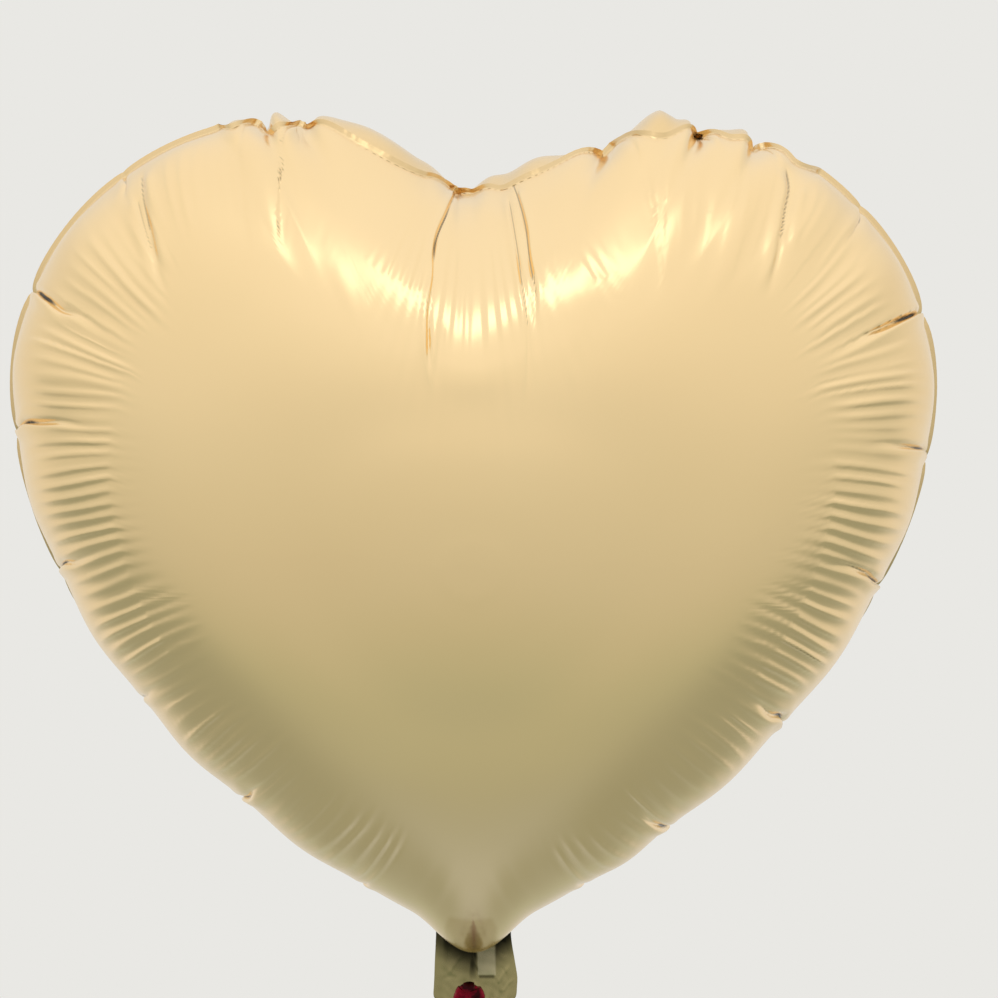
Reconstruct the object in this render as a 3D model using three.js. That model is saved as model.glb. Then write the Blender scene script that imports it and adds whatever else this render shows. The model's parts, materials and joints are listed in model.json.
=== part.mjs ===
// Heart-shaped foil balloon: two welded film hearts, a tail strip with its filling valve,
// and a ribbon tied round the tail. Millimetres, +Z up, the front faces -Y.
// The origin is the ribbon's tie, where the tail is gathered to its narrowest.
import * as THREE from 'three';
import { mergeVertices } from 'three/addons/utils/BufferGeometryUtils.js';

// Inflated heart
const CLEFT_Z = 341;            // bottom of the cleft between the lobes
const LOBE_TOP = [76, 373];     // x, z of a lobe's highest point
const WIDEST = [190, 262];      // x, z of the widest point
const NECK_TOP = [17.5, 38.5];  // where the heart's flank meets the neck
const NECK_BOTTOM = [17, 26.75];
const NECK_SEAM_Z = 40.5;        // the bulge ends here, above the flat neck
const NECK_NARROWING = 0.76;
const CENTRE_Z = 205;           // the spokes of each panel start here
const HALF_DEPTH = 109;         // from the seam plane to the front of the bulge
const FLANGE = 3.2;             // width of the welded margin
const FILM = 0.5;               // thickness that stands in for 0.03 mm film
const GAP = 0.3;                // clearance kept between neighbouring pieces
const SPOKES_A_SIDE = [5, 10, 13, 1, 3];
const RINGS = 9;

// Valve and tail
const VALVE_TOP = 50;
const VALVE_ROOM = 0.85;        // half the space between the tail films
const HINGE_Z = 26;
const HINGE_CLEARANCE = 1.05;
const TAIL_END = -42;
const TAIL_HALF_WIDTH = 17.6;
const TIE_HALF_WIDTH = 7.2;
const GATHER = 6.5;             // height above and below the tie where the tail is gathered
const PLEAT = 2.1;
const TAIL_COLUMNS = 10;
const VALVE_INSET = 2;           // tail columns left free beside the valve

// Ribbon
const WRAP = { a: 8, b: 3.8, corner: 3.2, thick: 1, height: 6 };
const KNOT = { y: -8.2, z: 5.5, rx: 7, ry: 3.1, rz: 8.7 };
const RIBBON_WIDTH = 5;
const SWING_Z = -5.8;
const HANK = { top: -70.3, run: 72, outer: 18, inner: 10, thick: 9 };
const HANK_TIE = { a: 18.3, b: 4.8, corner: 1, thick: 0.8, height: 8 };

const satinFilm = new THREE.MeshStandardMaterial({ color: 0xe3c79a, roughness: 0.38, metalness: 0.35 });
const glossFilm = new THREE.MeshStandardMaterial({ color: 0xb9a066, roughness: 0.2, metalness: 0.7 });
const clearFilm = new THREE.MeshStandardMaterial({ color: 0xdde2dc, roughness: 0.15, metalness: 0 });
const crimson = new THREE.MeshStandardMaterial({ color: 0x8c1030, roughness: 0.3, metalness: 0.1 });

const balloon = new THREE.Group();

function addPiece(name, geometry, material) {
  const piece = new THREE.Mesh(geometry, material.clone());
  piece.name = name;
  balloon.add(piece);
  return piece;
}

function smoothStep(from, to, value) {
  return THREE.MathUtils.smoothstep((value - from) / (to - from), 0, 1);
}

// A closed solid from a flat list of points and a list of faces with three or more corners.
function solid(points, faces) {
  const triangles = [];
  for (const face of faces) {
    for (let i = 1; i < face.length - 1; i += 1) triangles.push(face[0], face[i], face[i + 1]);
  }
  const geometry = new THREE.BufferGeometry();
  geometry.setAttribute('position', new THREE.Float32BufferAttribute(points.flat(), 3));
  geometry.setIndex(triangles);
  return geometry;
}

// The welded margin's outer edge, from the cleft down the +X side to the middle of the neck.
function halfOutline() {
  const v = (x, z) => new THREE.Vector2(x, z);
  const curves = [
    new THREE.CubicBezierCurve(v(0, CLEFT_Z), v(17.5, 352.5), v(53, 373), v(...LOBE_TOP)),
    new THREE.CubicBezierCurve(v(...LOBE_TOP), v(124, 373), v(190, 335), v(...WIDEST)),
    new THREE.CubicBezierCurve(v(...WIDEST), v(190, 155.5), v(90, 73), v(...NECK_TOP)),
    new THREE.LineCurve(v(...NECK_TOP), v(...NECK_BOTTOM)),
    new THREE.LineCurve(v(...NECK_BOTTOM), v(0, NECK_BOTTOM[1])),
  ];
  const points = [];
  curves.forEach((curve, i) => points.push(...curve.getPoints(SPOKES_A_SIDE[i]).slice(0, -1)));
  points.push(v(0, NECK_BOTTOM[1]));
  return points;
}

function heartOutline() {
  const right = halfOutline();
  const left = right.slice(1, -1).reverse().map((p) => new THREE.Vector2(-p.x, p.y));
  return [...right, ...left];
}

// Rings of flat points from the centre to the seam; ring 0 is the centre itself.
function heartRings(outline) {
  const centre = new THREE.Vector2(0, CENTRE_Z);
  const seam = outline.map((p) => {
    if (p.y < NECK_TOP[1]) return new THREE.Vector2(p.x * NECK_NARROWING, NECK_SEAM_Z);
    const ray = p.clone().sub(centre);
    return centre.clone().addScaledVector(ray, 1 - FLANGE / ray.length());
  });
  const rings = [[centre]];
  for (let j = 1; j <= RINGS; j += 1) {
    const reach = Math.sin((Math.PI / 2) * (j / RINGS));
    rings.push(seam.map((p) => centre.clone().lerp(p, reach)));
  }
  return rings;
}

// A soap film under pressure over the same outline. The square root of its height is the
// depth of a sealed pillow: blunt in the middle and upright at the seam.
function pillowDepth(rings) {
  const flat = rings.flat();
  const spokes = rings[1].length;
  const at = (j, i) => (j === 0 ? 0 : 1 + (j - 1) * spokes + ((i + spokes) % spokes));
  const links = flat.map(() => new Map());
  const area = flat.map(() => 0);
  const addTriangle = (a, b, c) => {
    for (const [p, q, r] of [[a, b, c], [b, c, a], [c, a, b]]) {
      const u = flat[p].clone().sub(flat[r]);
      const w = flat[q].clone().sub(flat[r]);
      const cotangent = u.dot(w) / Math.max(Math.abs(u.cross(w)), 1e-6);
      links[p].set(q, (links[p].get(q) ?? 0) + cotangent / 2);
      links[q].set(p, (links[q].get(p) ?? 0) + cotangent / 2);
      area[p] += Math.abs(u.cross(w)) / 6;
    }
  };
  for (let i = 0; i < spokes; i += 1) {
    addTriangle(0, at(1, i), at(1, i + 1));
    for (let j = 1; j < RINGS; j += 1) {
      addTriangle(at(j, i), at(j + 1, i), at(j + 1, i + 1));
      addTriangle(at(j, i), at(j + 1, i + 1), at(j, i + 1));
    }
  }
  const height = flat.map(() => 0);
  const inner = at(RINGS, 0);
  for (let sweep = 0; sweep < 600; sweep += 1) {
    for (let p = 0; p < inner; p += 1) {
      let pull = area[p];
      let weight = 0;
      for (const [q, w] of links[p]) {
        const kept = Math.max(w, 0);
        pull += kept * height[q];
        weight += kept;
      }
      height[p] = pull / weight;
    }
  }
  const highest = Math.max(...height);
  return height.map((h) => HALF_DEPTH * Math.sqrt(Math.max(h, 0) / highest));
}

// Room for the valve where it passes between the films of the neck.
function valveRoom(point) {
  const across = 1 - smoothStep(12, 16, Math.abs(point.x));
  const along = 1 - smoothStep(36, 48, point.y);
  return GAP / 2 + (VALVE_ROOM - GAP / 2) * across * along;
}

// One dished film: side -1 is the front, +1 the back.
function panelGeometry(side) {
  const outline = heartOutline();
  const spokes = outline.length;
  const rings = heartRings(outline);
  const depth = pillowDepth(rings);
  const flat = [...rings.flat(), ...outline];
  const lift = flat.map((p, i) => valveRoom(p) + (depth[i] ?? 0));
  const seamStart = 1 + (RINGS - 1) * spokes;
  const outer = flat.map((p, i) => new THREE.Vector3(p.x, side * (lift[i] + FILM), p.y));
  const at = (j, i) => (j === 0 ? 0 : 1 + (j - 1) * spokes + ((i + spokes) % spokes));
  const faces = [];
  for (let i = 0; i < spokes; i += 1) {
    faces.push([0, at(1, i), at(1, i + 1)]);
    for (let j = 1; j <= RINGS; j += 1) {
      faces.push([at(j, i), at(j + 1, i), at(j + 1, i + 1)], [at(j, i), at(j + 1, i + 1), at(j, i + 1)]);
    }
  }
  const normals = flat.map(() => new THREE.Vector3());
  for (const [a, b, c] of faces) {
    const normal = outer[b].clone().sub(outer[a]).cross(outer[c].clone().sub(outer[a])).normalize();
    if (normal.y * side < 0) normal.negate();
    for (const p of [a, b, c]) normals[p].add(normal);
  }
  const inner = flat.map((p, i) => {
    if (i >= seamStart + spokes) return new THREE.Vector3(p.x, side * lift[i], p.y);
    const shifted = outer[i].clone().addScaledVector(normals[i].normalize(), -FILM);
    if (i >= seamStart) shifted.y = side * lift[i];
    return shifted;
  });
  const count = flat.length;
  const points = [...outer, ...inner].map((p) => p.toArray());
  const all = [];
  for (const face of faces) {
    const under = face.map((p) => p + count);
    all.push(side > 0 ? face : [...face].reverse(), side > 0 ? under.reverse() : under);
  }
  for (let i = 0; i < spokes; i += 1) {
    const a = at(RINGS + 1, i);
    const b = at(RINGS + 1, i + 1);
    const rim = [a, a + count, b + count, b];
    all.push(side > 0 ? rim : rim.reverse());
  }
  return solid(points, all);
}

function gathered(z) {
  return Math.exp(-((z / GATHER) ** 4));
}

// A film strip of the tail, pleated where the ribbon gathers it. It fills from near to far
// on its side of the middle plane, and leaves out the same number of columns at each edge.
function stripGeometry(side, leftOut, near, far, top, bottom) {
  const levels = [20, 15.5, 12, 9, 6.5, 4, 2, 0, -2, -4, -6.5, -9, -12, -17, -27];
  const rows = [top, ...levels.filter((z) => z < top && z > bottom), bottom];
  const columns = TAIL_COLUMNS - 2 * leftOut;
  const points = [];
  for (const face of [far, near]) {
    for (const z of rows) {
      const reach = THREE.MathUtils.lerp(TAIL_HALF_WIDTH, TIE_HALF_WIDTH, gathered(z));
      for (let i = leftOut; i <= leftOut + columns; i += 1) {
        const edge = i === 0 || i === TAIL_COLUMNS;
        const fold = edge ? 0 : PLEAT * gathered(z) * (i % 2 ? 1 : -1);
        points.push([reach * (2 * (i / TAIL_COLUMNS) - 1), fold + side * face, z]);
      }
    }
  }
  const count = rows.length * (columns + 1);
  const at = (j, i) => j * (columns + 1) + i;
  const faces = [];
  for (let j = 0; j < rows.length - 1; j += 1) {
    for (let i = 0; i < columns; i += 1) {
      faces.push([at(j, i), at(j + 1, i), at(j + 1, i + 1)], [at(j, i), at(j + 1, i + 1), at(j, i + 1)]);
    }
  }
  const under = faces.map((face) => face.map((p) => p + count).reverse());
  const rim = [];
  for (let i = 0; i < columns; i += 1) rim.push(at(0, i));
  for (let j = 0; j < rows.length - 1; j += 1) rim.push(at(j, columns));
  for (let i = columns; i > 0; i -= 1) rim.push(at(rows.length - 1, i));
  for (let j = rows.length - 1; j > 0; j -= 1) rim.push(at(j, 0));
  const edges = rim.map((a, k) => {
    const b = rim[(k + 1) % rim.length];
    return [a, b, b + count, a + count];
  });
  const all = [...faces, ...under, ...edges];
  return solid(points, side > 0 ? all.map((face) => [...face].reverse()) : all);
}

function roundedBox(path, a, b, corner) {
  path.absarc(a - corner, b - corner, corner, 0, Math.PI / 2, false);
  path.absarc(corner - a, b - corner, corner, Math.PI / 2, Math.PI, false);
  path.absarc(corner - a, corner - b, corner, Math.PI, Math.PI * 1.5, false);
  path.absarc(a - corner, corner - b, corner, Math.PI * 1.5, Math.PI * 2, false);
  return path;
}

// A band round the Z axis, standing for the ribbon's turns.
function bandGeometry(band, z) {
  const outer = roundedBox(new THREE.Shape(), band.a + band.thick, band.b + band.thick, band.corner + band.thick);
  outer.holes.push(roundedBox(new THREE.Path(), band.a, band.b, band.corner));
  const options = { depth: band.height, bevelEnabled: false, curveSegments: 6 };
  return new THREE.ExtrudeGeometry(outer, options).translate(0, 0, z - band.height / 2);
}

function knotGeometry() {
  const geometry = new THREE.SphereGeometry(1, 20, 12);
  geometry.deleteAttribute('normal');
  geometry.deleteAttribute('uv');
  geometry.scale(KNOT.rx, KNOT.ry, KNOT.rz);
  return mergeVertices(geometry.translate(0, KNOT.y, KNOT.z));
}

function alongCurve(points, shape, steps) {
  const path = new THREE.CatmullRomCurve3(points.map((p) => new THREE.Vector3(...p)));
  return new THREE.ExtrudeGeometry(shape, { steps, extrudePath: path });
}

// The cut end hangs in front of the free run, clear of its swing.
function cutEndGeometry() {
  const shape = new THREE.Shape();
  const half = RIBBON_WIDTH / 2;
  shape.moveTo(-FILM / 2, -half).lineTo(FILM / 2, -half).lineTo(FILM / 2, half).lineTo(-FILM / 2, half);
  const y = KNOT.y - KNOT.ry - GAP;
  const points = [[1.5, y - 0.5, 4], [2.2, y - 1, -2], [3.4, y - 1.6, -9], [4.6, y - 1.2, -16], [5.2, y - 0.6, -22]];
  return alongCurve(points, shape, 12);
}

function leaderGeometry() {
  const shape = new THREE.Shape();
  for (let i = 0; i < 8; i += 1) {
    const angle = (Math.PI / 4) * (i + 0.5);
    const point = [(RIBBON_WIDTH / 2) * Math.cos(angle), (RIBBON_WIDTH / 2) * Math.sin(angle)];
    if (i === 0) shape.moveTo(...point);
    else shape.lineTo(...point);
  }
  const points = [
    [0, KNOT.y, SWING_Z], [0, KNOT.y, -15], [0, KNOT.y, -25], [0, KNOT.y, -35], [0, KNOT.y, -44],
    [0, -7, -51], [0, -3.8, -57.5], [0, -1, -63], [0, -0.1, -66.5], [0, 0, -69.6],
  ];
  return alongCurve(points, shape, 16);
}

function racetrack(path, radius, top, run) {
  const high = top - HANK.outer;
  const low = high - run;
  path.moveTo(radius, low).lineTo(radius, high);
  path.absarc(0, high, radius, 0, Math.PI, false);
  path.lineTo(-radius, low);
  path.absarc(0, low, radius, Math.PI, Math.PI * 2, false);
  return path;
}

function hankGeometry() {
  const shape = racetrack(new THREE.Shape(), HANK.outer, HANK.top, HANK.run);
  shape.holes.push(racetrack(new THREE.Path(), HANK.inner, HANK.top, HANK.run));
  const options = { depth: HANK.thick, bevelEnabled: false, curveSegments: 12 };
  const geometry = new THREE.ExtrudeGeometry(shape, options);
  return geometry.rotateX(Math.PI / 2).translate(0, HANK.thick / 2, 0);
}

const FILM_FAR = VALVE_ROOM + FILM;
const VALVE_NEAR = GAP / 2;
const VALVE_FAR = VALVE_ROOM - GAP;
const TAIL_TOP = HINGE_Z - HINGE_CLEARANCE;
const VALVE_END = -14;

function valveSheet(side) {
  const width = 2 * TAIL_HALF_WIDTH * (1 - (2 * VALVE_INSET) / TAIL_COLUMNS);
  const height = VALVE_TOP - NECK_BOTTOM[1];
  const thick = VALVE_FAR - VALVE_NEAR;
  const geometry = new THREE.BoxGeometry(width, thick, height);
  return geometry.translate(0, side * (VALVE_NEAR + thick / 2), NECK_BOTTOM[1] + height / 2);
}

addPiece('front_panel', panelGeometry(-1), satinFilm);
addPiece('back_panel', panelGeometry(1), glossFilm);
for (const [word, side] of [['front', -1], ['back', 1]]) {
  addPiece(`valve_inner_${word}`, valveSheet(side), clearFilm);
  addPiece(`tail_${word}`, stripGeometry(side, 0, VALVE_ROOM, FILM_FAR, TAIL_TOP, TAIL_END),
    glossFilm);
  addPiece(`valve_tail_${word}`,
    stripGeometry(side, VALVE_INSET, VALVE_NEAR, VALVE_FAR, TAIL_TOP, VALVE_END), clearFilm);
}
addPiece('ribbon_wrap', bandGeometry(WRAP, 0), crimson);
addPiece('ribbon_knot', knotGeometry(), crimson);
addPiece('ribbon_end', cutEndGeometry(), crimson);
addPiece('ribbon_leader', leaderGeometry(), crimson);
addPiece('ribbon_hank', hankGeometry(), crimson);
addPiece('hank_tie', bandGeometry(HANK_TIE, HANK.top - HANK.outer - HANK.run / 2), crimson);

export default balloon;
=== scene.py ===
"""Heart-shaped foil balloon: the film is inflated here, then wrinkled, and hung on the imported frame."""
import json
import math

import bpy
import numpy as np
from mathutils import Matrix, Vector
from mathutils.kdtree import KDTree


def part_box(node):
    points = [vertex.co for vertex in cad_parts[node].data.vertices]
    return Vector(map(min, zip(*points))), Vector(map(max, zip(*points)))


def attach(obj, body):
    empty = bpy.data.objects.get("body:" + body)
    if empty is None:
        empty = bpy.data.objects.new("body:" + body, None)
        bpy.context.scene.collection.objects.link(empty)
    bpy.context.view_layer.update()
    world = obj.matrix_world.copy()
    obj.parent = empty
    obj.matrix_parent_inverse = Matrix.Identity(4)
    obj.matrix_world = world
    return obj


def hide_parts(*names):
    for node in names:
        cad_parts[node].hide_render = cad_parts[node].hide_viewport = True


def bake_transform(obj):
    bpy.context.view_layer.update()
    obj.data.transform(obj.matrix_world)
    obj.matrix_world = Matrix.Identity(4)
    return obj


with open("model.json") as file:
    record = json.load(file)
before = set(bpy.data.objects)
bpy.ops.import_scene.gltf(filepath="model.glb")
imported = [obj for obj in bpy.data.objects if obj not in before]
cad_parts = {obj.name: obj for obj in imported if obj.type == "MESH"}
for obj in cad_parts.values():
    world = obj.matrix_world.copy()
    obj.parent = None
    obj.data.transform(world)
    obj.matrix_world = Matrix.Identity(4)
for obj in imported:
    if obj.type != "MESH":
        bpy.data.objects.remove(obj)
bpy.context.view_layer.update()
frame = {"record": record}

MM = 0.001                          # all shapes are worked out in millimetres


# ---------------------------------------------------------------- places, from the frame
def corners(node):
    """The lowest and highest corner of a CAD node."""
    return (np.array(corner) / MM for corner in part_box(node))


knot_low, knot_high = corners("ribbon_knot")
wrap_low, wrap_high = corners("ribbon_wrap")
tail_low, tail_high = corners("tail_front")
hank_low, hank_high = corners("ribbon_hank")
joints = {j["name"]: j for j in frame["record"]["behaviour"]["joints"]}
SWING = np.array(joints["ribbon_swing"]["pos_m"]) / MM

HEART_HALF, _, HEART_TOP = list(corners("front_panel"))[1]
CENTRE = np.array([0.0, 205.0])     # x and z of the heart's middle, where the spokes start
FLANGE = 3.2                        # the weld outside the seam


# ---------------------------------------------------------------- camera
def make_camera():
    data = bpy.data.cameras.new("camera")
    camera = bpy.data.objects.new("camera", data)
    bpy.context.collection.objects.link(camera)
    distance = 1.3
    width = 0.4099                  # what the view takes in at the target, in metres
    target = Vector((0.01045, 0, 0.2171))
    elevation = math.radians(6.75)
    camera.location = target + Vector((0, -math.cos(elevation), math.sin(elevation))) * distance
    camera.rotation_euler = (math.pi / 2 - elevation, 0, 0)
    data.lens = data.sensor_width * distance / width
    data.clip_start = 0.05
    data.clip_end = 60
    bpy.context.scene.camera = camera


make_camera()


# ---------------------------------------------------------------- node helpers
class Nodes:
    """The nodes of a material or of the world, with short names for the kinds used here."""

    def __init__(self, owner):
        owner.use_nodes = True
        self.owner = owner
        self.tree = owner.node_tree
        self.coordinates = self.tree.nodes.new("ShaderNodeTexCoord").outputs

    def feed(self, node, inputs):
        """Gives a node its inputs: sockets are linked, other values are set."""
        for name, value in inputs.items():
            if isinstance(value, bpy.types.NodeSocket):
                self.tree.links.new(value, node.inputs[name])
            else:
                node.inputs[name].default_value = value
        return node

    def set(self, **values):
        """Sets the inputs of the material's shader, with _ for a space in their names."""
        shader = self.tree.nodes["Principled BSDF"]
        self.feed(shader, {name.replace("_", " "): value for name, value in values.items()})

    def node(self, kind, inputs, **settings):
        node = self.tree.nodes.new(kind)
        for key, value in settings.items():
            setattr(node, key, value)
        return self.feed(node, inputs)

    def noise(self, scale, detail=3, roughness=0.5, stretch=None):
        place = self.coordinates["Object"]
        if stretch:
            place = self.node("ShaderNodeMapping", {0: place, 3: stretch}).outputs[0]
        inputs = {"Vector": place, "Scale": scale, "Detail": detail, "Roughness": roughness}
        return self.node("ShaderNodeTexNoise", inputs).outputs["Fac"]

    def attribute(self, name):
        return self.node("ShaderNodeAttribute", {}, attribute_name=name).outputs["Fac"]

    def remap(self, value, low, high, to_low=0.0, to_high=1.0):
        inputs = {0: value, 1: low, 2: high, 3: to_low, 4: to_high}
        return self.node("ShaderNodeMapRange", inputs).outputs[0]

    def rise(self, value, low, high):
        """A smooth rise from 0 at low to 1 at high."""
        inputs = {0: value, 1: low, 2: high}
        return self.node("ShaderNodeMapRange", inputs, interpolation_type="SMOOTHSTEP").outputs[0]

    def mix(self, factor, a, b):
        return self.node("ShaderNodeMix", {0: factor, 6: a, 7: b}, data_type="RGBA").outputs[2]

    def math(self, operation, a, b):
        return self.node("ShaderNodeMath", {0: a, 1: b}, operation=operation).outputs[0]

    def bump(self, height, strength, distance):
        inputs = {"Height": height, "Strength": strength, "Distance": distance}
        self.set(Normal=self.node("ShaderNodeBump", inputs).outputs[0])


def rgb(red, green, blue):
    """An sRGB colour from 0 to 255, as the linear colour a node takes."""
    def linear(value):
        value /= 255
        return value / 12.92 if value <= 0.04045 else ((value + 0.055) / 1.055) ** 2.4
    return (linear(red), linear(green), linear(blue), 1)


WELD = rgb(231, 200, 146)
# painted shade for the insides of the folds that gape
FOLD_SHADE_COLOUR = rgb(52, 44, 20)


def new_material(name):
    return Nodes(bpy.data.materials.new(name))


def welded_and_fold_shaded(m, colour):
    """The film's colour, changed on the weld, with painted shade in the folds that gape."""
    colour = m.mix(m.attribute("weld"), colour, WELD)
    return m.mix(m.remap(m.attribute("painted_fold_shade"), 0.15, 0.7), colour, FOLD_SHADE_COLOUR)


def satin_film():
    """The front's colour and dull sheen, darker over the valve and shinier on the right lobe's top."""
    m = new_material("satin_film")
    colour = m.mix(m.remap(m.noise(9, 2), 0.3, 0.7), rgb(252, 221, 166), rgb(250, 218, 162))
    colour = m.mix(m.remap(m.attribute("valve_shade"), 0, 1, 0, 0.5), colour, rgb(222, 186, 118))
    rough = m.remap(m.noise(40), 0.3, 0.7, 0.25, 0.268)
    rough = m.math("SUBTRACT", rough, m.remap(m.attribute("polish"), 0, 1, 0, 0.08))
    m.set(Base_Color=welded_and_fold_shaded(m, colour), Metallic=1.0, Roughness=rough,
          Coat_Weight=0.2, Coat_Roughness=0.16)
    m.bump(m.noise(55, 2), 0.03, 0.0005)
    return m.owner


def gloss_film():
    m = new_material("gloss_film")
    colour = m.mix(m.remap(m.noise(14), 0.3, 0.7), rgb(246, 214, 156), rgb(238, 204, 144))
    rough = m.remap(m.noise(60), 0.3, 0.7, 0.17, 0.24)
    m.set(Base_Color=welded_and_fold_shaded(m, colour), Metallic=0.96, Roughness=rough)
    m.bump(m.noise(70), 0.04, 0.0005)
    return m.owner


def tail_film():
    """The tail's duller gold, paler where the valve's end lies and dark in the heart's shadow."""
    m = new_material("tail_film")
    cloud = m.noise(60, 4, 0.6, (1, 1, 0.35))
    colour = m.mix(m.remap(cloud, 0.3, 0.7), rgb(150, 140, 96), rgb(168, 154, 106))
    colour = m.mix(m.math("MULTIPLY", m.attribute("patch"), 0.85), colour, rgb(194, 182, 144))
    colour = m.mix(m.attribute("shade"), colour, rgb(16, 13, 2))
    rough = m.remap(m.noise(120), 0.3, 0.7, 0.22, 0.32)
    m.set(Base_Color=colour, Metallic=0.9, Roughness=rough)
    m.bump(m.noise(260), 0.06, 0.0005)
    return m.owner


def clear_film():
    m = new_material("valve_film")
    colour = m.mix(m.noise(80), rgb(226, 228, 220), rgb(210, 214, 206))
    m.set(Base_Color=colour, Roughness=0.16, Transmission_Weight=0.85, IOR=1.45)
    m.bump(m.noise(500), 0.1, 0.0004)
    return m.owner


def ribbon_gloss():
    """Crimson metallised ribbon with fine ribs across its width."""
    m = new_material("ribbon_crimson")
    cloud = m.noise(140)
    colour = m.mix(m.remap(cloud, 0.38, 0.62), rgb(160, 6, 40), rgb(46, 0, 4))
    m.set(Base_Color=colour, Metallic=0.8, Roughness=m.remap(cloud, 0.3, 0.7, 0.2, 0.34),
          Specular_IOR_Level=0.2, Coat_Weight=0.05, Coat_Roughness=0.08)
    ribs = {"Vector": m.coordinates["Object"], "Scale": 900.0, "Distortion": 2.0}
    m.bump(m.node("ShaderNodeTexWave", ribs).outputs["Fac"], 0.08, 0.0003)
    return m.owner


SATIN = satin_film()
GLOSS = gloss_film()
TAIL = tail_film()
CLEAR = clear_film()
CRIMSON = ribbon_gloss()


# ---------------------------------------------------------------- mesh helpers
def grid_faces(rows, columns, wrap=False):
    """Quads of a grid of rows x columns points, joined round in columns if wrap."""
    r = np.arange(rows - 1)[:, None]
    c = np.arange(columns if wrap else columns - 1)[None, :]
    d = (c + 1) % columns
    quads = np.stack([r * columns + c, (r + 1) * columns + c, (r + 1) * columns + d, r * columns + d], -1)
    return quads.reshape(-1, 4)


def tube_faces(rows, columns):
    """Faces of a closed tube of rows rings: its wall and its two end caps."""
    faces = grid_faces(rows, columns, True).tolist()
    faces.append(list(range(columns))[::-1])
    faces.append([(rows - 1) * columns + i for i in range(columns)])
    return faces


def unit(vectors):
    """The vectors, made 1 long."""
    return vectors / np.maximum(np.linalg.norm(vectors, axis=-1), 1e-9)[..., None]


def superellipse(angle, power):
    """A rounded rectangle's two coordinates at an angle, from -1 to 1."""
    cosine, sine = np.cos(angle), np.sin(angle)
    return np.sign(cosine) * np.abs(cosine) ** power, np.sign(sine) * np.abs(sine) ** power


def make_piece(name, points_mm, faces, material, body, replaced, flip=False):
    """A smooth-shaded piece that stands for some CAD nodes; body is None on a piece that is attached to no
    body.
    """
    points = np.asarray(points_mm, float).reshape(-1, 3) * MM
    mesh = bpy.data.meshes.new(name)
    faces = [list(map(int, f))[::-1] if flip else list(map(int, f)) for f in faces]
    mesh.from_pydata(points.tolist(), [], faces)
    mesh.materials.append(material)
    mesh.polygons.foreach_set("use_smooth", [True] * len(mesh.polygons))
    mesh.update()
    piece = bpy.data.objects.new(name, mesh)
    bpy.context.collection.objects.link(piece)
    if body:
        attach(piece, body)
    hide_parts(*replaced)
    return piece


def store(piece, label, values):
    """Keeps one number for each point of a piece, which its material reads by the label."""
    layer = piece.data.attributes.new(label, "FLOAT", "POINT")
    layer.data.foreach_set("value", values.ravel().astype(np.float32))


def smooth(low, high, value):
    """0 below low, 1 above high, and a smooth rise between; low may be the larger."""
    t = np.clip((np.asarray(value, float) - low) / (high - low), 0, 1)
    return t * t * (3 - 2 * t)


# ---------------------------------------------------------------- the free ribbon
RIBBON = 5.0                        # the ribbon's width
RIBBON_THICK = 0.12
TURNS = 5                           # turns of the hank, each wider than the last
HANK_Z = (hank_low[2] + hank_high[2]) / 2
HANK_RUN = 72.0                     # the straight part of a turn


def hank_point(turn, share):
    """A point of a turn of the hank; share runs once round from the right run's middle, downwards."""
    radius = 9.5 + 1.35 * (turn + share)
    half = HANK_RUN / 2
    arc = math.pi * radius
    s = share * 2 * (HANK_RUN + arc)
    if s < half:
        x, z = radius, -s
    elif s < half + arc:
        a = (s - half) / radius
        x, z = radius * math.cos(a), -half - radius * math.sin(a)
    elif s < 3 * half + arc:
        x, z = -radius, s - HANK_RUN - arc
    elif s < 3 * half + 2 * arc:
        a = (s - 3 * half - arc) / radius
        x, z = -radius * math.cos(a), half + radius * math.sin(a)
    else:
        x, z = radius, 4 * half + 2 * arc - s
    x *= 1 - 0.22 * math.exp(-((z / 13) ** 2))
    y = 1.5 * math.cos(math.pi * (turn + share))
    return [x, y, HANK_Z + z]


def ribbon_route():
    """From the knot down to the hank, and round its turns."""
    y = SWING[1]
    leader = [
        [0, y, SWING[2]], [0, y, -15], [0.4, y, -25], [0.9, y + 0.1, -35], [0.6, y + 0.2, -44],
        [0.1, -7, -51], [0, -3.8, -57.5], [0.2, -1.2, -64], [1.2, -0.2, -71], [3.6, 0.6, -79],
        [6.6, 1.1, -88], [8.8, 1.4, -98],
    ]
    turns = [hank_point(k, share) for k in range(TURNS) for share in np.arange(0.06, 1.0, 1 / 28)]
    return catmull(np.array(leader + turns), 6)


def catmull(points, steps):
    """A smooth line through the points."""
    p = np.vstack([2 * points[0] - points[1], points, 2 * points[-1] - points[-2]])
    t = np.linspace(0, 1, steps, endpoint=False)[:, None]
    out = []
    for a, b, c, d in zip(p, p[1:], p[2:], p[3:]):
        out.append(0.5 * (2 * b + (c - a) * t + (2 * a - 5 * b + 4 * c - d) * t ** 2
                          + (3 * b - a - 3 * c + d) * t ** 3))
    out.append(points[-1][None])
    return np.vstack(out)


def ribbon_strip(line, across, crown=0.12, closed=False):
    """A flat ribbon along a line: points and faces. across gives its width's direction at each point."""
    tangent = np.gradient(line, axis=0)
    if closed:
        tangent = np.roll(line, -1, 0) - np.roll(line, 1, 0)
    tangent = unit(tangent)
    across = unit(across - tangent * np.sum(across * tangent, 1)[:, None])
    face = np.cross(tangent, across)
    u = np.linspace(-0.5, 0.5, 5)
    top = [(RIBBON * x, crown * (1 - 4 * x * x) + RIBBON_THICK / 2) for x in u]
    bottom = [(x, height - RIBBON_THICK) for x, height in top[::-1]]
    section = np.array(top + bottom)
    points = line[:, None] + across[:, None] * section[None, :, :1] + face[:, None] * section[None, :, 1:]
    rows, columns = points.shape[:2]
    faces = grid_faces(rows + 1, columns, True) % (rows * columns) if closed else tube_faces(rows, columns)
    return points.reshape(-1, 3), faces


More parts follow.
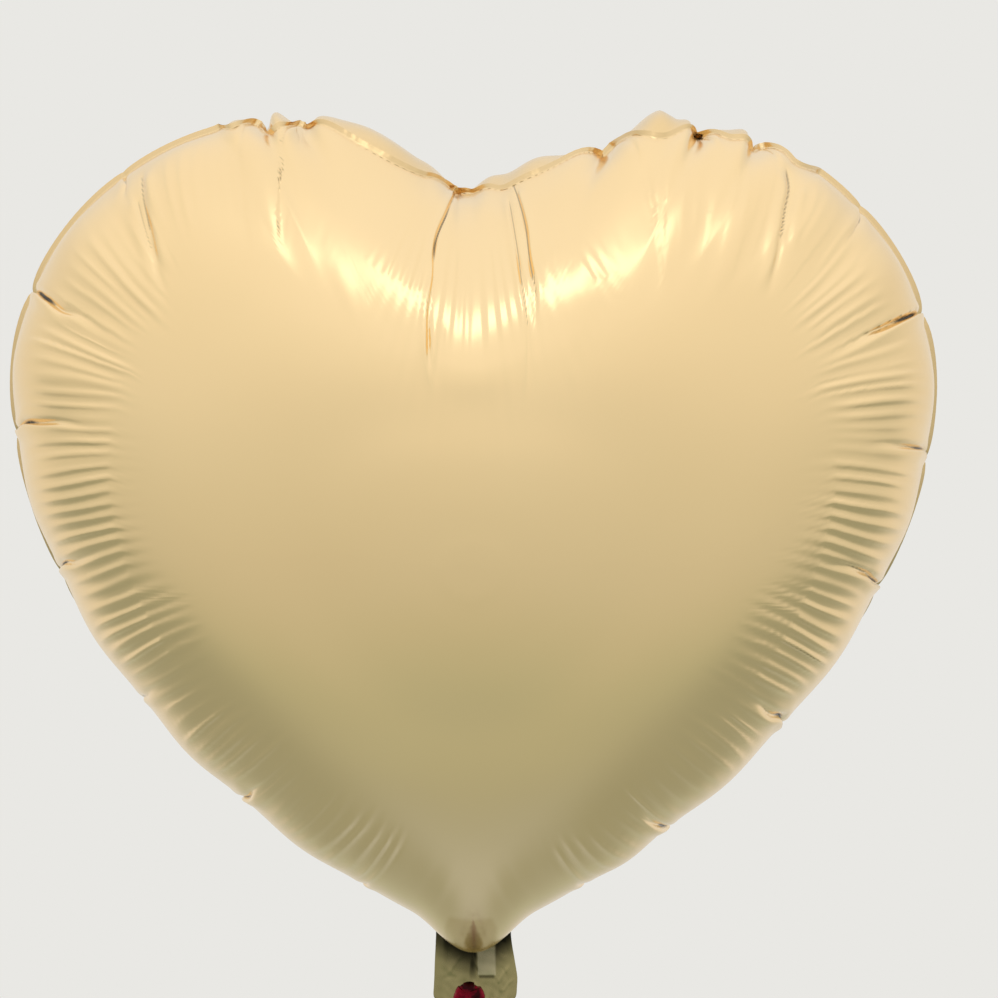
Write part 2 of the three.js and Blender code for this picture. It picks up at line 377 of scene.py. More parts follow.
def make_free_ribbon():
    """The free run: it turns edge on below the knot, and its turns lean on each other in the hank."""
    line = ribbon_route()
    z = line[:, 2:]
    turn = smooth(-20, -60, z)
    across = np.array([1.0, 0.12, 0]) * (1 - turn) + np.array([0, 1.0, 0]) * turn
    radial = unit(np.cross(np.gradient(line, axis=0), [0, 1.0, 0]))
    lean = np.radians(34 + 9 * np.sin(z / 17)) * smooth(-70, -92, z)
    across = across * np.cos(lean) + radial * np.sin(lean)
    points, faces = ribbon_strip(line, across)
    piece = make_piece("free_ribbon", points, faces, CRIMSON, "ribbon",
                       ("ribbon_leader", "ribbon_hank"))
    return piece, line


def make_hank_tie():
    """The short loop round the hank's waist."""
    a = np.linspace(0, 2 * math.pi, 72, endpoint=False)
    x, y = superellipse(a, 0.5)
    line = np.stack([13.6 * x, 4.9 * y, HANK_Z + 0.5 * np.sin(2 * a)], -1)
    points, faces = ribbon_strip(line, np.array([0, 0, 1.0]), closed=True)
    return make_piece("hank_tie_ribbon", points, faces, CRIMSON, "ribbon", ("hank_tie",))


free_ribbon, ribbon_line = make_free_ribbon()
hank_tie_ribbon = make_hank_tie()


# ---------------------------------------------------------------- heart outline
def bezier(points, count):
    """A cubic curve's points, without its last."""
    p = np.array(points, float)
    t = np.linspace(0, 1, count, endpoint=False)[:, None]
    return (1 - t) ** 3 * p[0] + 3 * (1 - t) ** 2 * t * p[1] + 3 * (1 - t) * t * t * p[2] + t ** 3 * p[3]


def seam_outline():
    """The inflated seam's outer edge, as x and z, once round from the cleft by the +X side."""
    right = np.vstack([
        bezier([(0, 344.5), (12, 345.5), (48, HEART_TOP), (76, HEART_TOP)], 60),
        bezier([(76, HEART_TOP), (124, HEART_TOP), (HEART_HALF, 335), (HEART_HALF, 262)], 80),
        bezier([(HEART_HALF, 262), (HEART_HALF, 155.5), (90, 73), (17.5, 38.5)], 120),
        np.stack([np.linspace(17.5, 0, 12), 34 + 4.5 * np.linspace(1, 0, 12) ** 2], 1),
    ])
    return np.vstack([right, right[1:-1][::-1] * [-1, 1]])


def polar_reach(points, angles):
    """How far the outline lies from the centre, at each angle from +Z towards +X."""
    ray = points - CENTRE
    angle = np.unwrap(np.arctan2(ray[:, 0], ray[:, 1]))
    reach = np.hypot(ray[:, 0], ray[:, 1])
    turn = 2 * math.pi
    angle = np.concatenate([angle - turn, angle, angle + turn])
    order = np.argsort(angle, kind="stable")
    return np.interp(angles, angle[order], np.tile(reach, 3)[order])


# ---------------------------------------------------------------- inflating the film
SPOKES = 120                        # the net's threads from the middle to the seam
RINGS = 20                          # and its threads round the middle


def film_parameter():
    """The section of a round foil balloon of radius 1: share of the way out along the film, radius and
    depth there, and the whole way's length."""
    g = np.linspace(0, 1, 4001)
    mid = (g[1:] + g[:-1]) / 2
    u = 1 - (1 - mid) ** 2
    step = 2 * (1 - mid) * (g[1] - g[0]) / np.sqrt(1 - u ** 4)
    along = np.concatenate([[0], np.cumsum(step)])
    depth = np.concatenate([[0], np.cumsum(u ** 2 * step)])
    return along / along[-1], 1 - (1 - g) ** 2, depth[-1] - depth, along[-1]


class Film:
    """One half of the envelope as a net of threads that can't stretch but fold freely."""

    def __init__(self, angles, flat_reach):
        self.share = np.linspace(0.03, 1, RINGS + 1) ** 0.9
        self.ray = np.stack([np.sin(angles), np.cos(angles)], 1)
        self.flat_reach = flat_reach
        flat = self.share[None, :, None] * flat_reach[:, None, None] * self.ray[:, None, :]
        nxt = np.roll(flat, -1, 0)
        p, q = nxt[:, 1:] - flat[:, :-1], nxt[:, :-1] - flat[:, 1:]
        self.along = np.linalg.norm(flat[:, 1:] - flat[:, :-1], axis=2)
        self.round = np.linalg.norm(nxt - flat, axis=2)
        self.cross_a = np.linalg.norm(p, axis=2)
        self.cross_b = np.linalg.norm(q, axis=2)
        area = np.abs(p[..., 0] * q[..., 1] - p[..., 1] * q[..., 0]) / 2
        self.mean_area = area.mean()
        mass = self.spread(area)
        self.light = 1 / np.maximum(mass / mass.mean(), 0.05)      # how easily each knot of the net moves
        self.points = self.start()

    @staticmethod
    def spread(cells):
        """Shares each cell's value among its four corners."""
        shape = (cells.shape[0], cells.shape[1] + 1) + cells.shape[2:]
        total = np.zeros(shape)
        quarter = cells / 4
        back = np.roll(quarter, 1, 0)
        total[:, :-1] += quarter + back
        total[:, 1:] += quarter + back
        return total

    def start(self):
        """A first guess: the round balloon's section on each spoke."""
        share, reach, depth, whole = film_parameter()
        u = np.interp(self.share, share, reach)
        y = np.interp(self.share, share, depth)
        radius = self.flat_reach / whole
        points = np.zeros((len(radius), RINGS + 1, 3))
        points[..., 0] = radius[:, None] * u * self.ray[:, :1]
        points[..., 2] = CENTRE[1] + radius[:, None] * u * self.ray[:, 1:]
        points[..., 1] = -np.minimum(radius[:, None], 150) * y
        return points

    @staticmethod
    def pull(a, b, light_a, light_b, rest):
        """Moves for both ends of threads that are longer than their rest length."""
        gap = b - a
        length = np.sqrt((gap * gap).sum(-1))
        move = (np.maximum(length - rest, 0) / (np.maximum(length, 1e-9) * (light_a + light_b)))[..., None]
        return move * gap * light_a[..., None], -move * gap * light_b[..., None]

    def settle(self, steps, push=0.001, keep=0.985):
        """Blows the film up in small steps, with its seam held in the middle plane."""
        x, w = self.points, self.light
        speed = np.zeros_like(x)
        count = x.shape[0]
        for _ in range(steps):
            nxt = np.roll(x, -1, 0)
            force = self.spread(np.cross(nxt[:, 1:] - x[:, :-1], nxt[:, :-1] - x[:, 1:]) / 2)
            side = -np.sign(force[:, RINGS // 3, 1].mean())
            before = x.copy()
            x = x + keep * speed + (side * push / self.mean_area) * force * w[..., None]
            x[:, -1, 1] = 0
            for odd in (0, 1):
                a, b = x[:, odd:-1:2], x[:, odd + 1::2]
                pa, pb = self.pull(a, b, w[:, odd:-1:2], w[:, odd + 1::2], self.along[:, odd::2])
                a += pa
                b += pb
            for odd in (0, 1):
                i = np.arange(odd, count, 2)
                j = (i + 1) % count
                pa, pb = self.pull(x[i], x[j], w[i], w[j], self.round[i])
                x[i] += pa
                x[j] += pb
            for odd in (0, 1):
                k = np.arange(odd, RINGS, 2)
                for low, high, rest in ((k, k + 1, self.cross_a), (k + 1, k, self.cross_b)):
                    far, far_light = np.roll(x[:, high], -1, 0), np.roll(w[:, high], -1, 0)
                    pa, pb = self.pull(x[:, low], far, w[:, low], far_light, rest[:, k])
                    x[:, low] += pa
                    x[:, high] += np.roll(pb, 1, 0)
            x[:, -1, 1] = 0
            speed = x - before
        self.points = x
        return x


def low_pass(values, keep):
    """The values round a closed line, without their waves of order above about keep."""
    terms = np.fft.rfft(values)
    return np.fft.irfft(terms * np.exp(-(np.arange(len(terms)) / keep) ** 4), len(values))


def inflate(rounds, steps):
    """Finds the flat cut whose inflated seam has the heart's outline; gives its film."""
    angles = np.arange(SPOKES) * 2 * math.pi / SPOKES
    wanted = polar_reach(seam_outline(), angles) - FLANGE
    cut = wanted * 1.26
    for _ in range(rounds):
        film = Film(angles, cut)
        seam = film.settle(steps)[:, -1][:, [0, 2]]
        error = wanted / polar_reach(seam, angles)
        error = (error + np.roll(error[::-1], 1)) / 2
        cut = cut * low_pass(error, 9) ** 0.9
    return film


film = inflate(6, 1800)


# ---------------------------------------------------------------- smooth film
CREST_ROWS = 64                     # rows in the wrinkled outer part
INNER_ROWS = 30
CREST_SHARE = 0.40                  # the outer part's share of a spoke
FITTED = 78.0                       # within this distance of the middle the film is one fitted dome
HUB = 0.03                          # the share of a spoke where its last row lies


def spline_bend(nodes):
    """The matrix from values at the nodes to a natural cubic spline's second derivatives."""
    n = len(nodes)
    h = np.diff(nodes)
    a = np.eye(n)
    b = np.zeros((n, n))
    for i in range(1, n - 1):
        a[i, i - 1:i + 2] = h[i - 1] / 6, (h[i - 1] + h[i]) / 3, h[i] / 6
        b[i, i - 1:i + 2] = 1 / h[i - 1], -1 / h[i - 1] - 1 / h[i], 1 / h[i]
    return np.linalg.solve(a, b)


def at_angles(values, angles, keep):
    """Values on evenly spaced spokes, low-passed and evaluated at any angles."""
    count = len(values)
    terms = np.fft.rfft(values.reshape(count, -1), axis=0) / count
    order = np.arange(len(terms))
    terms *= np.exp(-(order / keep) ** 4)[:, None]
    weight = np.where(order == 0, 1, 2)[:, None]
    wave = np.exp(1j * angles[:, None] * order[None])
    made = (wave @ (terms * weight)).real
    return made.reshape((len(angles),) + values.shape[1:])


class Envelope:
    """The closed smooth surface: each spoke runs from the front's middle over the seam to the back's."""

    def __init__(self, film, spokes):
        points = (film.points + np.roll(film.points[::-1], 1, 0) * [-1, 1, 1]) / 2
        points = self.fit_middle(points)
        smoothed = at_angles(points, spokes, 13)
        smoothed[:, -1, 1] = 0
        wanted = polar_reach(seam_outline(), spokes) - FLANGE
        seam = smoothed[:, -1, [0, 2]] - CENTRE
        grow = wanted / np.hypot(seam[:, 0], seam[:, 1])
        scale = 1 + (grow[:, None] - 1) * film.share[None, :] ** 3
        for axis, middle in zip((0, 2), CENTRE):
            smoothed[..., axis] = middle + (smoothed[..., axis] - middle) * scale
        self.nodes = np.concatenate([film.share, 2 - film.share[-2::-1]])
        self.values = np.concatenate([smoothed, smoothed[:, -2::-1] * [1, -1, 1]], 1)
        self.bend = np.einsum("kj,ijc->ikc", spline_bend(self.nodes), self.values)
        cut = np.concatenate([film.flat_reach, film.flat_reach[:1]])
        around = np.linspace(0, 2 * math.pi, SPOKES + 1)
        self.reach = np.interp(spokes % (2 * math.pi), around, cut)
        self.ray = np.stack([np.sin(spokes), np.cos(spokes)], 1)
        self.swell = swell_at(spokes)

    @staticmethod
    def fit_middle(points):
        """Replaces the film near the middle, where the spokes crowd, by a smooth fitted dome."""
        x, z = points[..., 0], points[..., 2] - CENTRE[1]
        radius = np.hypot(x, z)
        near = radius < FITTED * 1.25

        def terms(x, z):
            a, b = x / 100, z / 100
            return np.stack([a ** i * b ** j for i in (0, 2, 4) for j in range(5 - i)], -1)

        found = np.linalg.lstsq(terms(x[near], z[near]), points[..., 1][near], rcond=None)[0]
        fitted = terms(x, z) @ found
        weight = 1 - smooth(FITTED * 0.6, FITTED, radius)
        points = points.copy()
        points[..., 1] = points[..., 1] * (1 - weight) + np.where(near, fitted, 0) * weight
        return points

    def at(self, share):
        """Points at a share of each spoke: share is spokes x rows, 1 at the seam, above 1 behind it."""
        k = np.clip(np.searchsorted(self.nodes, share) - 1, 0, len(self.nodes) - 2)
        step = np.diff(self.nodes)[k]
        t = (share - self.nodes[k]) / step
        i = np.arange(len(share))[:, None]
        low, high = 1 - t, t
        bend_low, bend_high = (low ** 3 - low) * step ** 2 / 6, (high ** 3 - high) * step ** 2 / 6
        points = (low[..., None] * self.values[i, k] + high[..., None] * self.values[i, k + 1]
                  + bend_low[..., None] * self.bend[i, k] + bend_high[..., None] * self.bend[i, k + 1])
        swell = self.swell[:, None] * np.exp(-((share - 1) * self.reach[:, None] / SWELL_REACH) ** 2)
        points[..., 0] += swell * self.ray[:, :1]
        points[..., 2] += swell * self.ray[:, 1:]
        return points

    def flat(self, share):
        """Where those points lie in the film's flat cut."""
        return (np.minimum(share, 2 - share) * self.reach[:, None])[..., None] * self.ray[:, None]


SEAM_STEP = 0.95                    # distance between spokes along the seam
FOLD_STEP = 0.55                    # and where the folds below the cleft start
MARK_STEP = 0.3                     # and at each pleat


def spaced_spokes(marks):
    """Angles of the spokes, closer together near the folds and by each marked angle."""
    fine = np.linspace(0, 2 * math.pi, 20001)
    reach = polar_reach(seam_outline(), fine)
    line = np.stack([reach * np.sin(fine), reach * np.cos(fine)], 1)
    along = np.concatenate([[0], np.cumsum(np.linalg.norm(np.diff(line, axis=0), axis=1))])
    density = np.full(len(fine), 1 / SEAM_STEP)
    from_top = np.where(np.cos(fine) > 0, np.abs(np.degrees(np.sin(fine))), 90)
    density += (1 / FOLD_STEP - 1 / SEAM_STEP) * (1 - smooth(20, 24, from_top))
    for mark in marks:
        gap = seam_wrap(along - np.interp(mark % (2 * math.pi), fine, along), along[-1])
        density += (1 / MARK_STEP - 1 / SEAM_STEP) * np.exp(-(gap / 2.6) ** 2)
    total = np.concatenate([[0], np.cumsum((density[1:] + density[:-1]) / 2 * np.diff(along))])
    count = int(total[-1])
    return np.interp(np.arange(count) * total[-1] / count, total, fine)


# ---------------------------------------------------------------- pleats, ripples and folds
# Pleats: angle from straight up towards +X in degrees, depth at the seam, how far in they run and their lean.
# Then the ripples of the lobe before each: their size, and how far in they start and end.
PLEATS = [
    (-61.3, 4.6, 84, 1, 1.3, 36, 95), (-77.9, 5.4, 88, 1, 1.4, 34, 98),
    (-97.3, 4.2, 76, 1, 1.5, 36, 97), (-118.9, 2.0, 60, 1, 1.3, 40, 89),
    (-139.8, 4.2, 66, 1, 1.1, 32, 86), (-163.0, 2.6, 36, 1, 0.0, 20, 50),
    (63.8, 5.6, 92, -1, 1.0, 44, 94), (81.2, 4.6, 78, -1, 1.3, 32, 96),
    (99.6, 5.0, 86, -1, 1.4, 32, 101), (123.7, 4.8, 86, -1, 1.7, 40, 97),
    (147.2, 4.0, 70, -1, 1.2, 36, 86), (163.0, 2.4, 36, -1, 1.1, 30, 78),
    (-29.0, 1.5, 34, 1, 0.8, 24, 72), (-23.4, 1.8, 30, -1, 0.0, 20, 50),
    (19.6, 1.3, 30, -1, 0.1, 40, 70), (30.4, 1.7, 30, -1, 0.4, 26, 62),
    (38.3, 1.7, 26, -1, 0.5, 26, 62), (50.8, 2.2, 50, 1, 0.6, 24, 66), (-45.5, 1.6, 40, 1, 1.1, 40, 94),
]
BACK_SHIFT = 3                      # a lobe of the back has the ripples of the front's lobe this many before
RIPPLE = 0.42                       # height of a ripple of size 1
CLEFT_ANGLE = -3.0                  # where the two lobes meet
ENDLESS = 400.0                     # a period that is longer than any distance on the film

# How the outline swells (+) between pleats and pinches (-) at them: angle, millimetres, half width.
SWELLS = [
    (-30.6, 3.8, 1.8), (-27.8, -3.2, 1.1), (-25.6, 4.2, 1.2), (-22.4, -3.6, 1.4), (-19.5, 4.4, 3.0),
    (-15.0, 2.0, 3.5), (-12.0, 9.6, 7.0), (-5.8, 1.4, 1.6), (-2.5, -2.2, 1.1), (2.2, 4.4, 2.2),
    (8.0, 6.2, 4.0), (18.6, -7.4, 2.4), (18.8, -2.0, 0.9), (24.0, 4.8, 2.2), (28.3, 2.0, 1.2),
    (30.2, -5.6, 1.2), (35.2, 2.4, 1.2), (37.1, -4.6, 1.2), (40.2, 1.6, 1.2),
]
SWELL_REACH = 42.0                  # how far in from the seam a swell is felt

# Where the seam wanders to the front between two pleats: from, to, how far, how suddenly.
WANDER = [
    (-33.0, -29.0, 19.0, 0.8), (-28.6, -23.6, 24.0, 0.8), (-23.0, -2.9, 31.0, 0.65), (-2.9, 19.0, 28.0, 1.1),
    (19.8, 30.2, 32.0, 0.8), (30.6, 38.1, 21.0, 0.8), (38.5, 45.0, 18.0, 0.8),
]


def from_straight_up(angles):
    """Angles in degrees, from -180 to 180."""
    return (np.degrees(angles) + 180) % 360 - 180


def swell_at(angles):
    """How far the outline stands out at each angle."""
    degrees = from_straight_up(angles)
    return sum(size * np.exp(-((degrees - at) / width) ** 2) for at, size, width in SWELLS)


def wander_at(angles):
    """How far the seam lies in front of the silhouette, at each angle."""
    degrees = from_straight_up(angles)
    total = np.zeros(len(angles))
    for low, high, size, power in WANDER:
        t = np.clip((degrees - low) / (high - low), 0, 1)
        total = np.maximum(total, size * np.sin(math.pi * t) ** power)
    return total


def seam_distance(flat, cut, along):
    """For flat points: distance from the closed cut line and how far along it the nearest point is."""
    tree = KDTree(len(cut))
    for index, point in enumerate(cut):
        tree.insert((point[0], point[1], 0), index)
    tree.balance()
    points = flat.reshape(-1, 2)
    found = np.array([tree.find((x, z, 0))[1] for x, z in points.tolist()])
    distance = np.full(len(points), 1e9)
    place = np.zeros(len(points))
    last = len(cut) - 1
    for low, high in (((found - 1) % last, (found - 1) % last + 1), (found % last, found % last + 1)):
        step = cut[high] - cut[low]
        size = np.maximum((step ** 2).sum(1), 1e-12)
        t = np.clip(((points - cut[low]) * step).sum(1) / size, 0, 1)
        away = np.sqrt(((points - cut[low] - t[:, None] * step) ** 2).sum(1))
        nearer = away < distance
        distance = np.where(nearer, away, distance)
        place = np.where(nearer, along[low] + t * np.sqrt(size), place)
    return distance.reshape(flat.shape[:-1]), place.reshape(flat.shape[:-1])


def wave_noise(place, length, seed, period):
    """Smooth noise along a closed line, about -1 to 1, with features about length long."""
    draw = np.random.default_rng(seed)
    count = max(8, int(period / length))
    knots = draw.uniform(-1, 1, count)
    t = (place / period % 1) * count
    k = np.floor(t).astype(int) % count
    f = t - np.floor(t)
    f = f * f * (3 - 2 * f)
    return knots[k] * (1 - f) + knots[(k + 1) % count] * f


def seam_wrap(gap, period):
    """A distance along the closed seam, the short way round."""
    return (gap + period / 2) % period - period / 2


# Folds that lie inside the panel: points as x and z, depth, width, side of the raised lip, slide, and the
# part of it that gapes and gets painted shade: how dark, from, to.
FRONT_FOLDS = [
    ([(-3.0, 352), (-6.4, 344), (-10.3, 334.5), (-14.3, 324), (-14.8, 311), (-16.4, 299), (-16.2, 284),
      (-16.2, 271)], 1.6, 0.8, -1, 0.9, (0.8, 0.25, 0.38)),
    ([(14.5, 350), (18, 341), (20.8, 330.5), (22.3, 318), (24.2, 307), (25.2, 290)],
     1.7, 0.8, 1, 0.6, (0.55, 0.05, 0.65)),
    ([(13.8, 344), (17.2, 324.5), (19.1, 310), (21.2, 295), (22.4, 266)],
     1.2, 0.7, -1, 0.3, (0.45, 0.1, 0.6)),
    ([(-18.6, 292), (-18.0, 284), (-16.4, 276), (-16.0, 273)], -0.7, 0.9, 1, 0.0, (0.0, 0.1, 0.5)),
    ([(-13.2, 294), (-14.2, 284), (-15.6, 276), (-16.0, 273)], -0.7, 0.9, 1, 0.0, (0.0, 0.1, 0.5)),
    ([(19.0, 306), (21.8, 297), (24.0, 290.5), (25.6, 288)], -0.6, 0.8, 1, 0.0, (0.0, 0.1, 0.5)),
    ([(-132.8, 352), (-131.2, 346), (-129.6, 340), (-126, 329), (-120.4, 311)],
     1.5, 1.4, 1, 0.6, (0.4, 0.1, 0.5)),
    ([(-133.3, 343), (-131.1, 336.8), (-125.9, 324), (-117.9, 305)], 1.3, 1.4, -1, 0.4, (0.3, 0.1, 0.5)),
    ([(124.5, 355), (125.1, 346), (122.4, 337), (119.5, 324), (114, 303)],
     1.9, 1.4, -1, 0.8, (0.5, 0.1, 0.5)),
    ([(127.8, 346), (124.5, 334), (121.3, 321)], 1.0, 1.2, 1, 0.3, (0.2, 0.1, 0.5)),
]
FAN = (0.0, 388.0)                  # the fine ripples below the cleft spread from here
LIP = 7.9                           # how far the belly's front hangs down over the neck


def fold_place(x, z, line):
    """Signed distance from a line of points, and how far along it from 0 to 1."""
    line = catmull(np.array(line, float), 6)
    step = np.diff(line, axis=0)
    size = np.linalg.norm(step, axis=1)
    along = np.concatenate([[0], np.cumsum(size)])
    best = np.full(x.shape, 1e9)
    gap = np.full(x.shape, 1e9)
    place = np.zeros(x.shape)
    for k in range(len(step)):
        ax, az = x - line[k, 0], z - line[k, 1]
        t = np.clip((ax * step[k, 0] + az * step[k, 1]) / size[k] ** 2, 0, 1)
        dx, dz = ax - t * step[k, 0], az - t * step[k, 1]
        away = np.hypot(dx, dz)
        side = np.sign(-step[k, 1] * ax + step[k, 0] * az)
        nearer = away < best
        best = np.where(nearer, away, best)
        gap = np.where(nearer, away * side, gap)
        place = np.where(nearer, (along[k] + t * size[k]) / along[-1], place)
    return gap, place


class Side:
    """One panel of the envelope: its grid of points, and the wrinkles on it."""

    def __init__(self, envelope, wander, front):
        self.front = front
        edge = 1 - wander[:, None] / envelope.reach[:, None]
        rows = np.concatenate([CREST_SHARE * np.linspace(0, 1, CREST_ROWS) ** 1.15,
                               np.linspace(CREST_SHARE, 1, INNER_ROWS + 1)[1:]])
        share = edge + ((HUB if front else 2 - HUB) - edge) * rows[None]
        self.points = envelope.at(share)
        cut = envelope.flat(np.ones((len(wander), 1)))[:, 0]
        cut = np.vstack([cut, cut[:1]])
        along = np.concatenate([[0], np.cumsum(np.linalg.norm(np.diff(cut, axis=0), axis=1))])
        self.round = along[-1]
        distance, self.place = seam_distance(envelope.flat(share), cut, along)
        if front:
            self.distance = distance - wander[:, None]
        else:
            self.distance = np.where(share < 1, -distance, distance) + wander[:, None]
        ray = np.arctan2(cut[:, 0], cut[:, 1]) % (2 * math.pi)
        ray[-1] = 2 * math.pi
        angles = np.radians([pleat[0] for pleat in PLEATS])
        self.pleat_places = np.interp(angles % (2 * math.pi), ray, along)
        order = np.argsort(self.pleat_places)
        lobes = np.array([PLEATS[k][4:] for k in order])
        self.lobes = lobes if front else np.roll(lobes, BACK_SHIFT, 0)
        self.over = np.roll(self.points, -1, 0) - np.roll(self.points, 1, 0)
        self.outward = self.points - [0, 0, CENTRE[1]]
        normal = unit(np.cross(self.over, np.gradient(self.points, axis=1)))
        self.normal = normal * np.sign((normal * self.outward).sum(-1).mean())

    def lobe_share(self):
        """For each point, how far it lies from one pleat to the next, how far apart they are, and which."""
        places = np.sort(self.pleat_places)
        k = np.searchsorted(places, self.place)
        before = np.where(k == 0, places[-1] - self.round, places[(k - 1) % len(places)])
        after = np.where(k == len(places), places[0] + self.round, places[k % len(places)])
        return (self.place - before) / (after - before), after - before, k % len(places)

    def wrinkle(self, seed):
        """How far each point moves outwards, along the seam and inwards; also marks where pleats gape, for
        painted shade.
        """
        d, t = self.distance, self.place
        period = self.round
        lift, slide, tuck, self.painted_fold_shade = np.zeros((4,) + d.shape)
        # puffed lobes between the pleats
        share, span, lobe = self.lobe_share()
        bulge = np.sin(math.pi * share) ** 2
        size = np.clip(span / 60, 0.2, 1) * 2.0
        lift += size * (bulge - 0.5) * smooth(0, 24, d) * (1 - smooth(44, 96, d))
        # pleats
        for (angle, depth, reach, lean, *_), place in zip(PLEATS, self.pleat_places):
            wave = 1.8 * wave_noise(d, 16, seed + int(angle) % 97, ENDLESS) * smooth(2, 24, d)
            pinch = abs(angle) < 45         # the short pleats along the top, which never open and so get no painted shade
            reach = 15 if pinch else reach
            gap = seam_wrap(t - place - (wave + lean * 0.03 * d), period)
            fade = (1 - smooth(reach * 0.3, reach, d)) * smooth(-2, 8, d)
            width = 1.0 + 0.025 * np.maximum(d, 0)
            groove = np.exp(-np.abs(gap) / width)
            lip = np.exp(-((gap + lean * 3.4 * width / 1.6) / (1.7 * width)) ** 2)
            other = np.exp(-((gap - lean * 5.0 * width / 1.6) / (2.4 * width)) ** 2)
            lift += fade * depth * (-0.62 * groove + 0.30 * lip + 0.1 * other)
            # painted shade where each long pleat opens
            shaded_open_part = smooth(4, 16, d) * (1 - smooth(reach * 0.36, reach * 0.55, d))
            if not pinch:
                self.painted_fold_shade = np.maximum(self.painted_fold_shade, shaded_open_part * np.exp(-gap ** 2) * min(1, depth / 4))
            slide += fade * depth * 0.42 * lean * lip
            tuck += depth * 0.42 * np.exp(-np.abs(gap) / 4.5) * np.exp(-np.maximum(d, 0) / 9)
        # ripples square to the seam
        strength, start, end = self.ripple_window(lobe, share)
        length = 8.0 + 1.0 * wave_noise(t, 45, seed + 3, period)
        turns = period / length.mean()
        phase = 2 * math.pi * turns * t / period + 1.7 * wave_noise(t, 17, seed + 5, period)
        phase = phase + 0.5 * np.sin(d / 13 + t / 9)
        vary = 0.62 + 0.38 * wave_noise(t, 9, seed + 11, period)
        begin = start + 4 * wave_noise(t, 8, seed + 17, period)
        finish = end + 6 * wave_noise(t, 11, seed + 19, period)
        inside = smooth(begin - 8, begin + 16, d) * (1 - smooth(finish - 16, finish + 4, d))
        crest = np.sin(phase) - 0.22 * np.cos(2 * phase)
        lift += strength * vary * inside * crest * RIPPLE
        # tiny puckers at the weld
        pucker = np.sin(2 * math.pi * t / 3.9 + 1.2 * wave_noise(t, 13, seed + 23, period))
        pucker *= 0.5 + 0.5 * wave_noise(t, 31, seed + 29, period)
        lift += 0.04 * pucker * np.exp(-(np.maximum(d, 0) / 4) ** 2)
        return lift, slide, tuck

    def fold(self, lift, slide):
        """Adds the front's own folds, and the fine fan of ripples below the cleft."""
        x, z = self.points[..., 0], self.points[..., 2]
        for line, depth, width, lip_side, shift, (dark, dark_from, dark_to) in FRONT_FOLDS:
            gap, place = fold_place(x, z, line)
            fade = smooth(0.0, 0.12, place) * (1 - smooth(0.72, 1.0, place)) * (np.abs(gap) < 30)
            fade = fade * smooth(1.0, 9.0, self.distance)
            # painted shade along the part of the fold that gapes
            gape = smooth(dark_from - 0.1, dark_from, place) * (1 - smooth(dark_to, dark_to + 0.1, place))
            groove = np.exp(-np.abs(gap) / width)
            lip = np.exp(-((gap - lip_side * 2.4 * width) / (1.5 * width)) ** 2)
            lift = lift + fade * depth * (0.42 * lip - 0.6 * groove)
            self.painted_fold_shade = np.maximum(self.painted_fold_shade, dark * gape * np.exp(-(gap / (0.42 * width)) ** 2))
            slide = slide - fade * shift * lip_side * lip
        across = np.arctan2(x - FAN[0], FAN[1] - z)
        away = np.hypot(x - FAN[0], z - FAN[1])
        spread = across * 90 + 200
        bend = 0.9 * wave_noise(spread, 9, 5, ENDLESS)
        beat = 0.78 + 0.22 * wave_noise(spread, 4, 6, ENDLESS)
        top = 62 + 5 * wave_noise(spread, 5, 7, ENDLESS)
        end = 134 + 16 * wave_noise(spread, 5, 8, ENDLESS)
        inside = smooth(top - 6, top + 14, away) * (1 - smooth(end - 44, end + 6, away))
        inside = inside * (1 - smooth(0.44, 0.66, np.abs(across - 0.06)))
        lift = lift + 0.21 * inside * beat * np.sin(118 * across + bend)
        return lift, slide

    def lip(self):
        """How the film's belly hangs over the neck at the tip."""
        x = self.points[..., 0]
        low = np.clip(1 - (x / 27) ** 2, 0, 1) ** 2.4 * (self.points[..., 2] < CENTRE[1])
        d = np.maximum(self.distance, 0)
        drop = low * (d / 16) * np.exp(1 - d / 16) * (LIP if self.front else LIP * 0.6)
        out = low * np.exp(-((d - 12) / 14) ** 2) * smooth(0, 5, d) * (-3 if self.front else 3)
        return np.stack([np.zeros_like(x), out, -drop], -1)

    def ripple_window(self, lobe, share):
        """How strong the ripples are at each point, and how far in they start and end."""
        size, start, end = np.moveaxis(self.lobes[lobe], -1, 0)
        ends = 0.35 + 0.65 * np.sin(math.pi * np.clip(share, 0, 1)) ** 0.5
        return size * ends, start, end

    def marks(self):
        """What the film's material reads: the painted shade in open folds, the polished patch and the shade
        of the valve.
        """
        x, z = self.points[..., 0], self.points[..., 2]
        polish = np.exp(-((x - 12) / 40) ** 4) * smooth(240, 276, z) * (1 - smooth(318, 332, z))
        wide = 1 - smooth(9.5, 11.5, np.abs(x + 1) + np.maximum(0, z - 50) * 0.35)
        shade = wide * (1 - smooth(54, 57, z))
        return {"painted_fold_shade": self.painted_fold_shade, "polish": polish * self.front, "valve_shade": shade * self.front}

    def wrinkled(self, seed):
        """The panel's points with all its wrinkles."""
        lift, slide, tuck = self.wrinkle(seed)
        if self.front:
            lift, slide = self.fold(lift, slide)
        inward = unit(-self.outward * [1, 0, 1])
        return (self.points + self.normal * lift[..., None] + unit(self.over) * slide[..., None]
                + inward * tuck[..., None] + self.lip())


def film_faces(count, rows):
    """The panel's faces: rows across, joined round, and a fan to one last point in the middle."""
    ring = np.append(np.arange(count), 0)
    near, far = ring[:-1, None] * rows, ring[1:, None] * rows
    k = np.arange(rows - 1)
    walls = np.stack([near + k, far + k, far + k + 1, near + k + 1], -1).reshape(-1, 4)
    hub = np.full(count, count * rows)
    fan = np.stack([near[:, 0] + rows - 1, far[:, 0] + rows - 1, hub], -1)
    return walls.tolist() + fan.tolist()


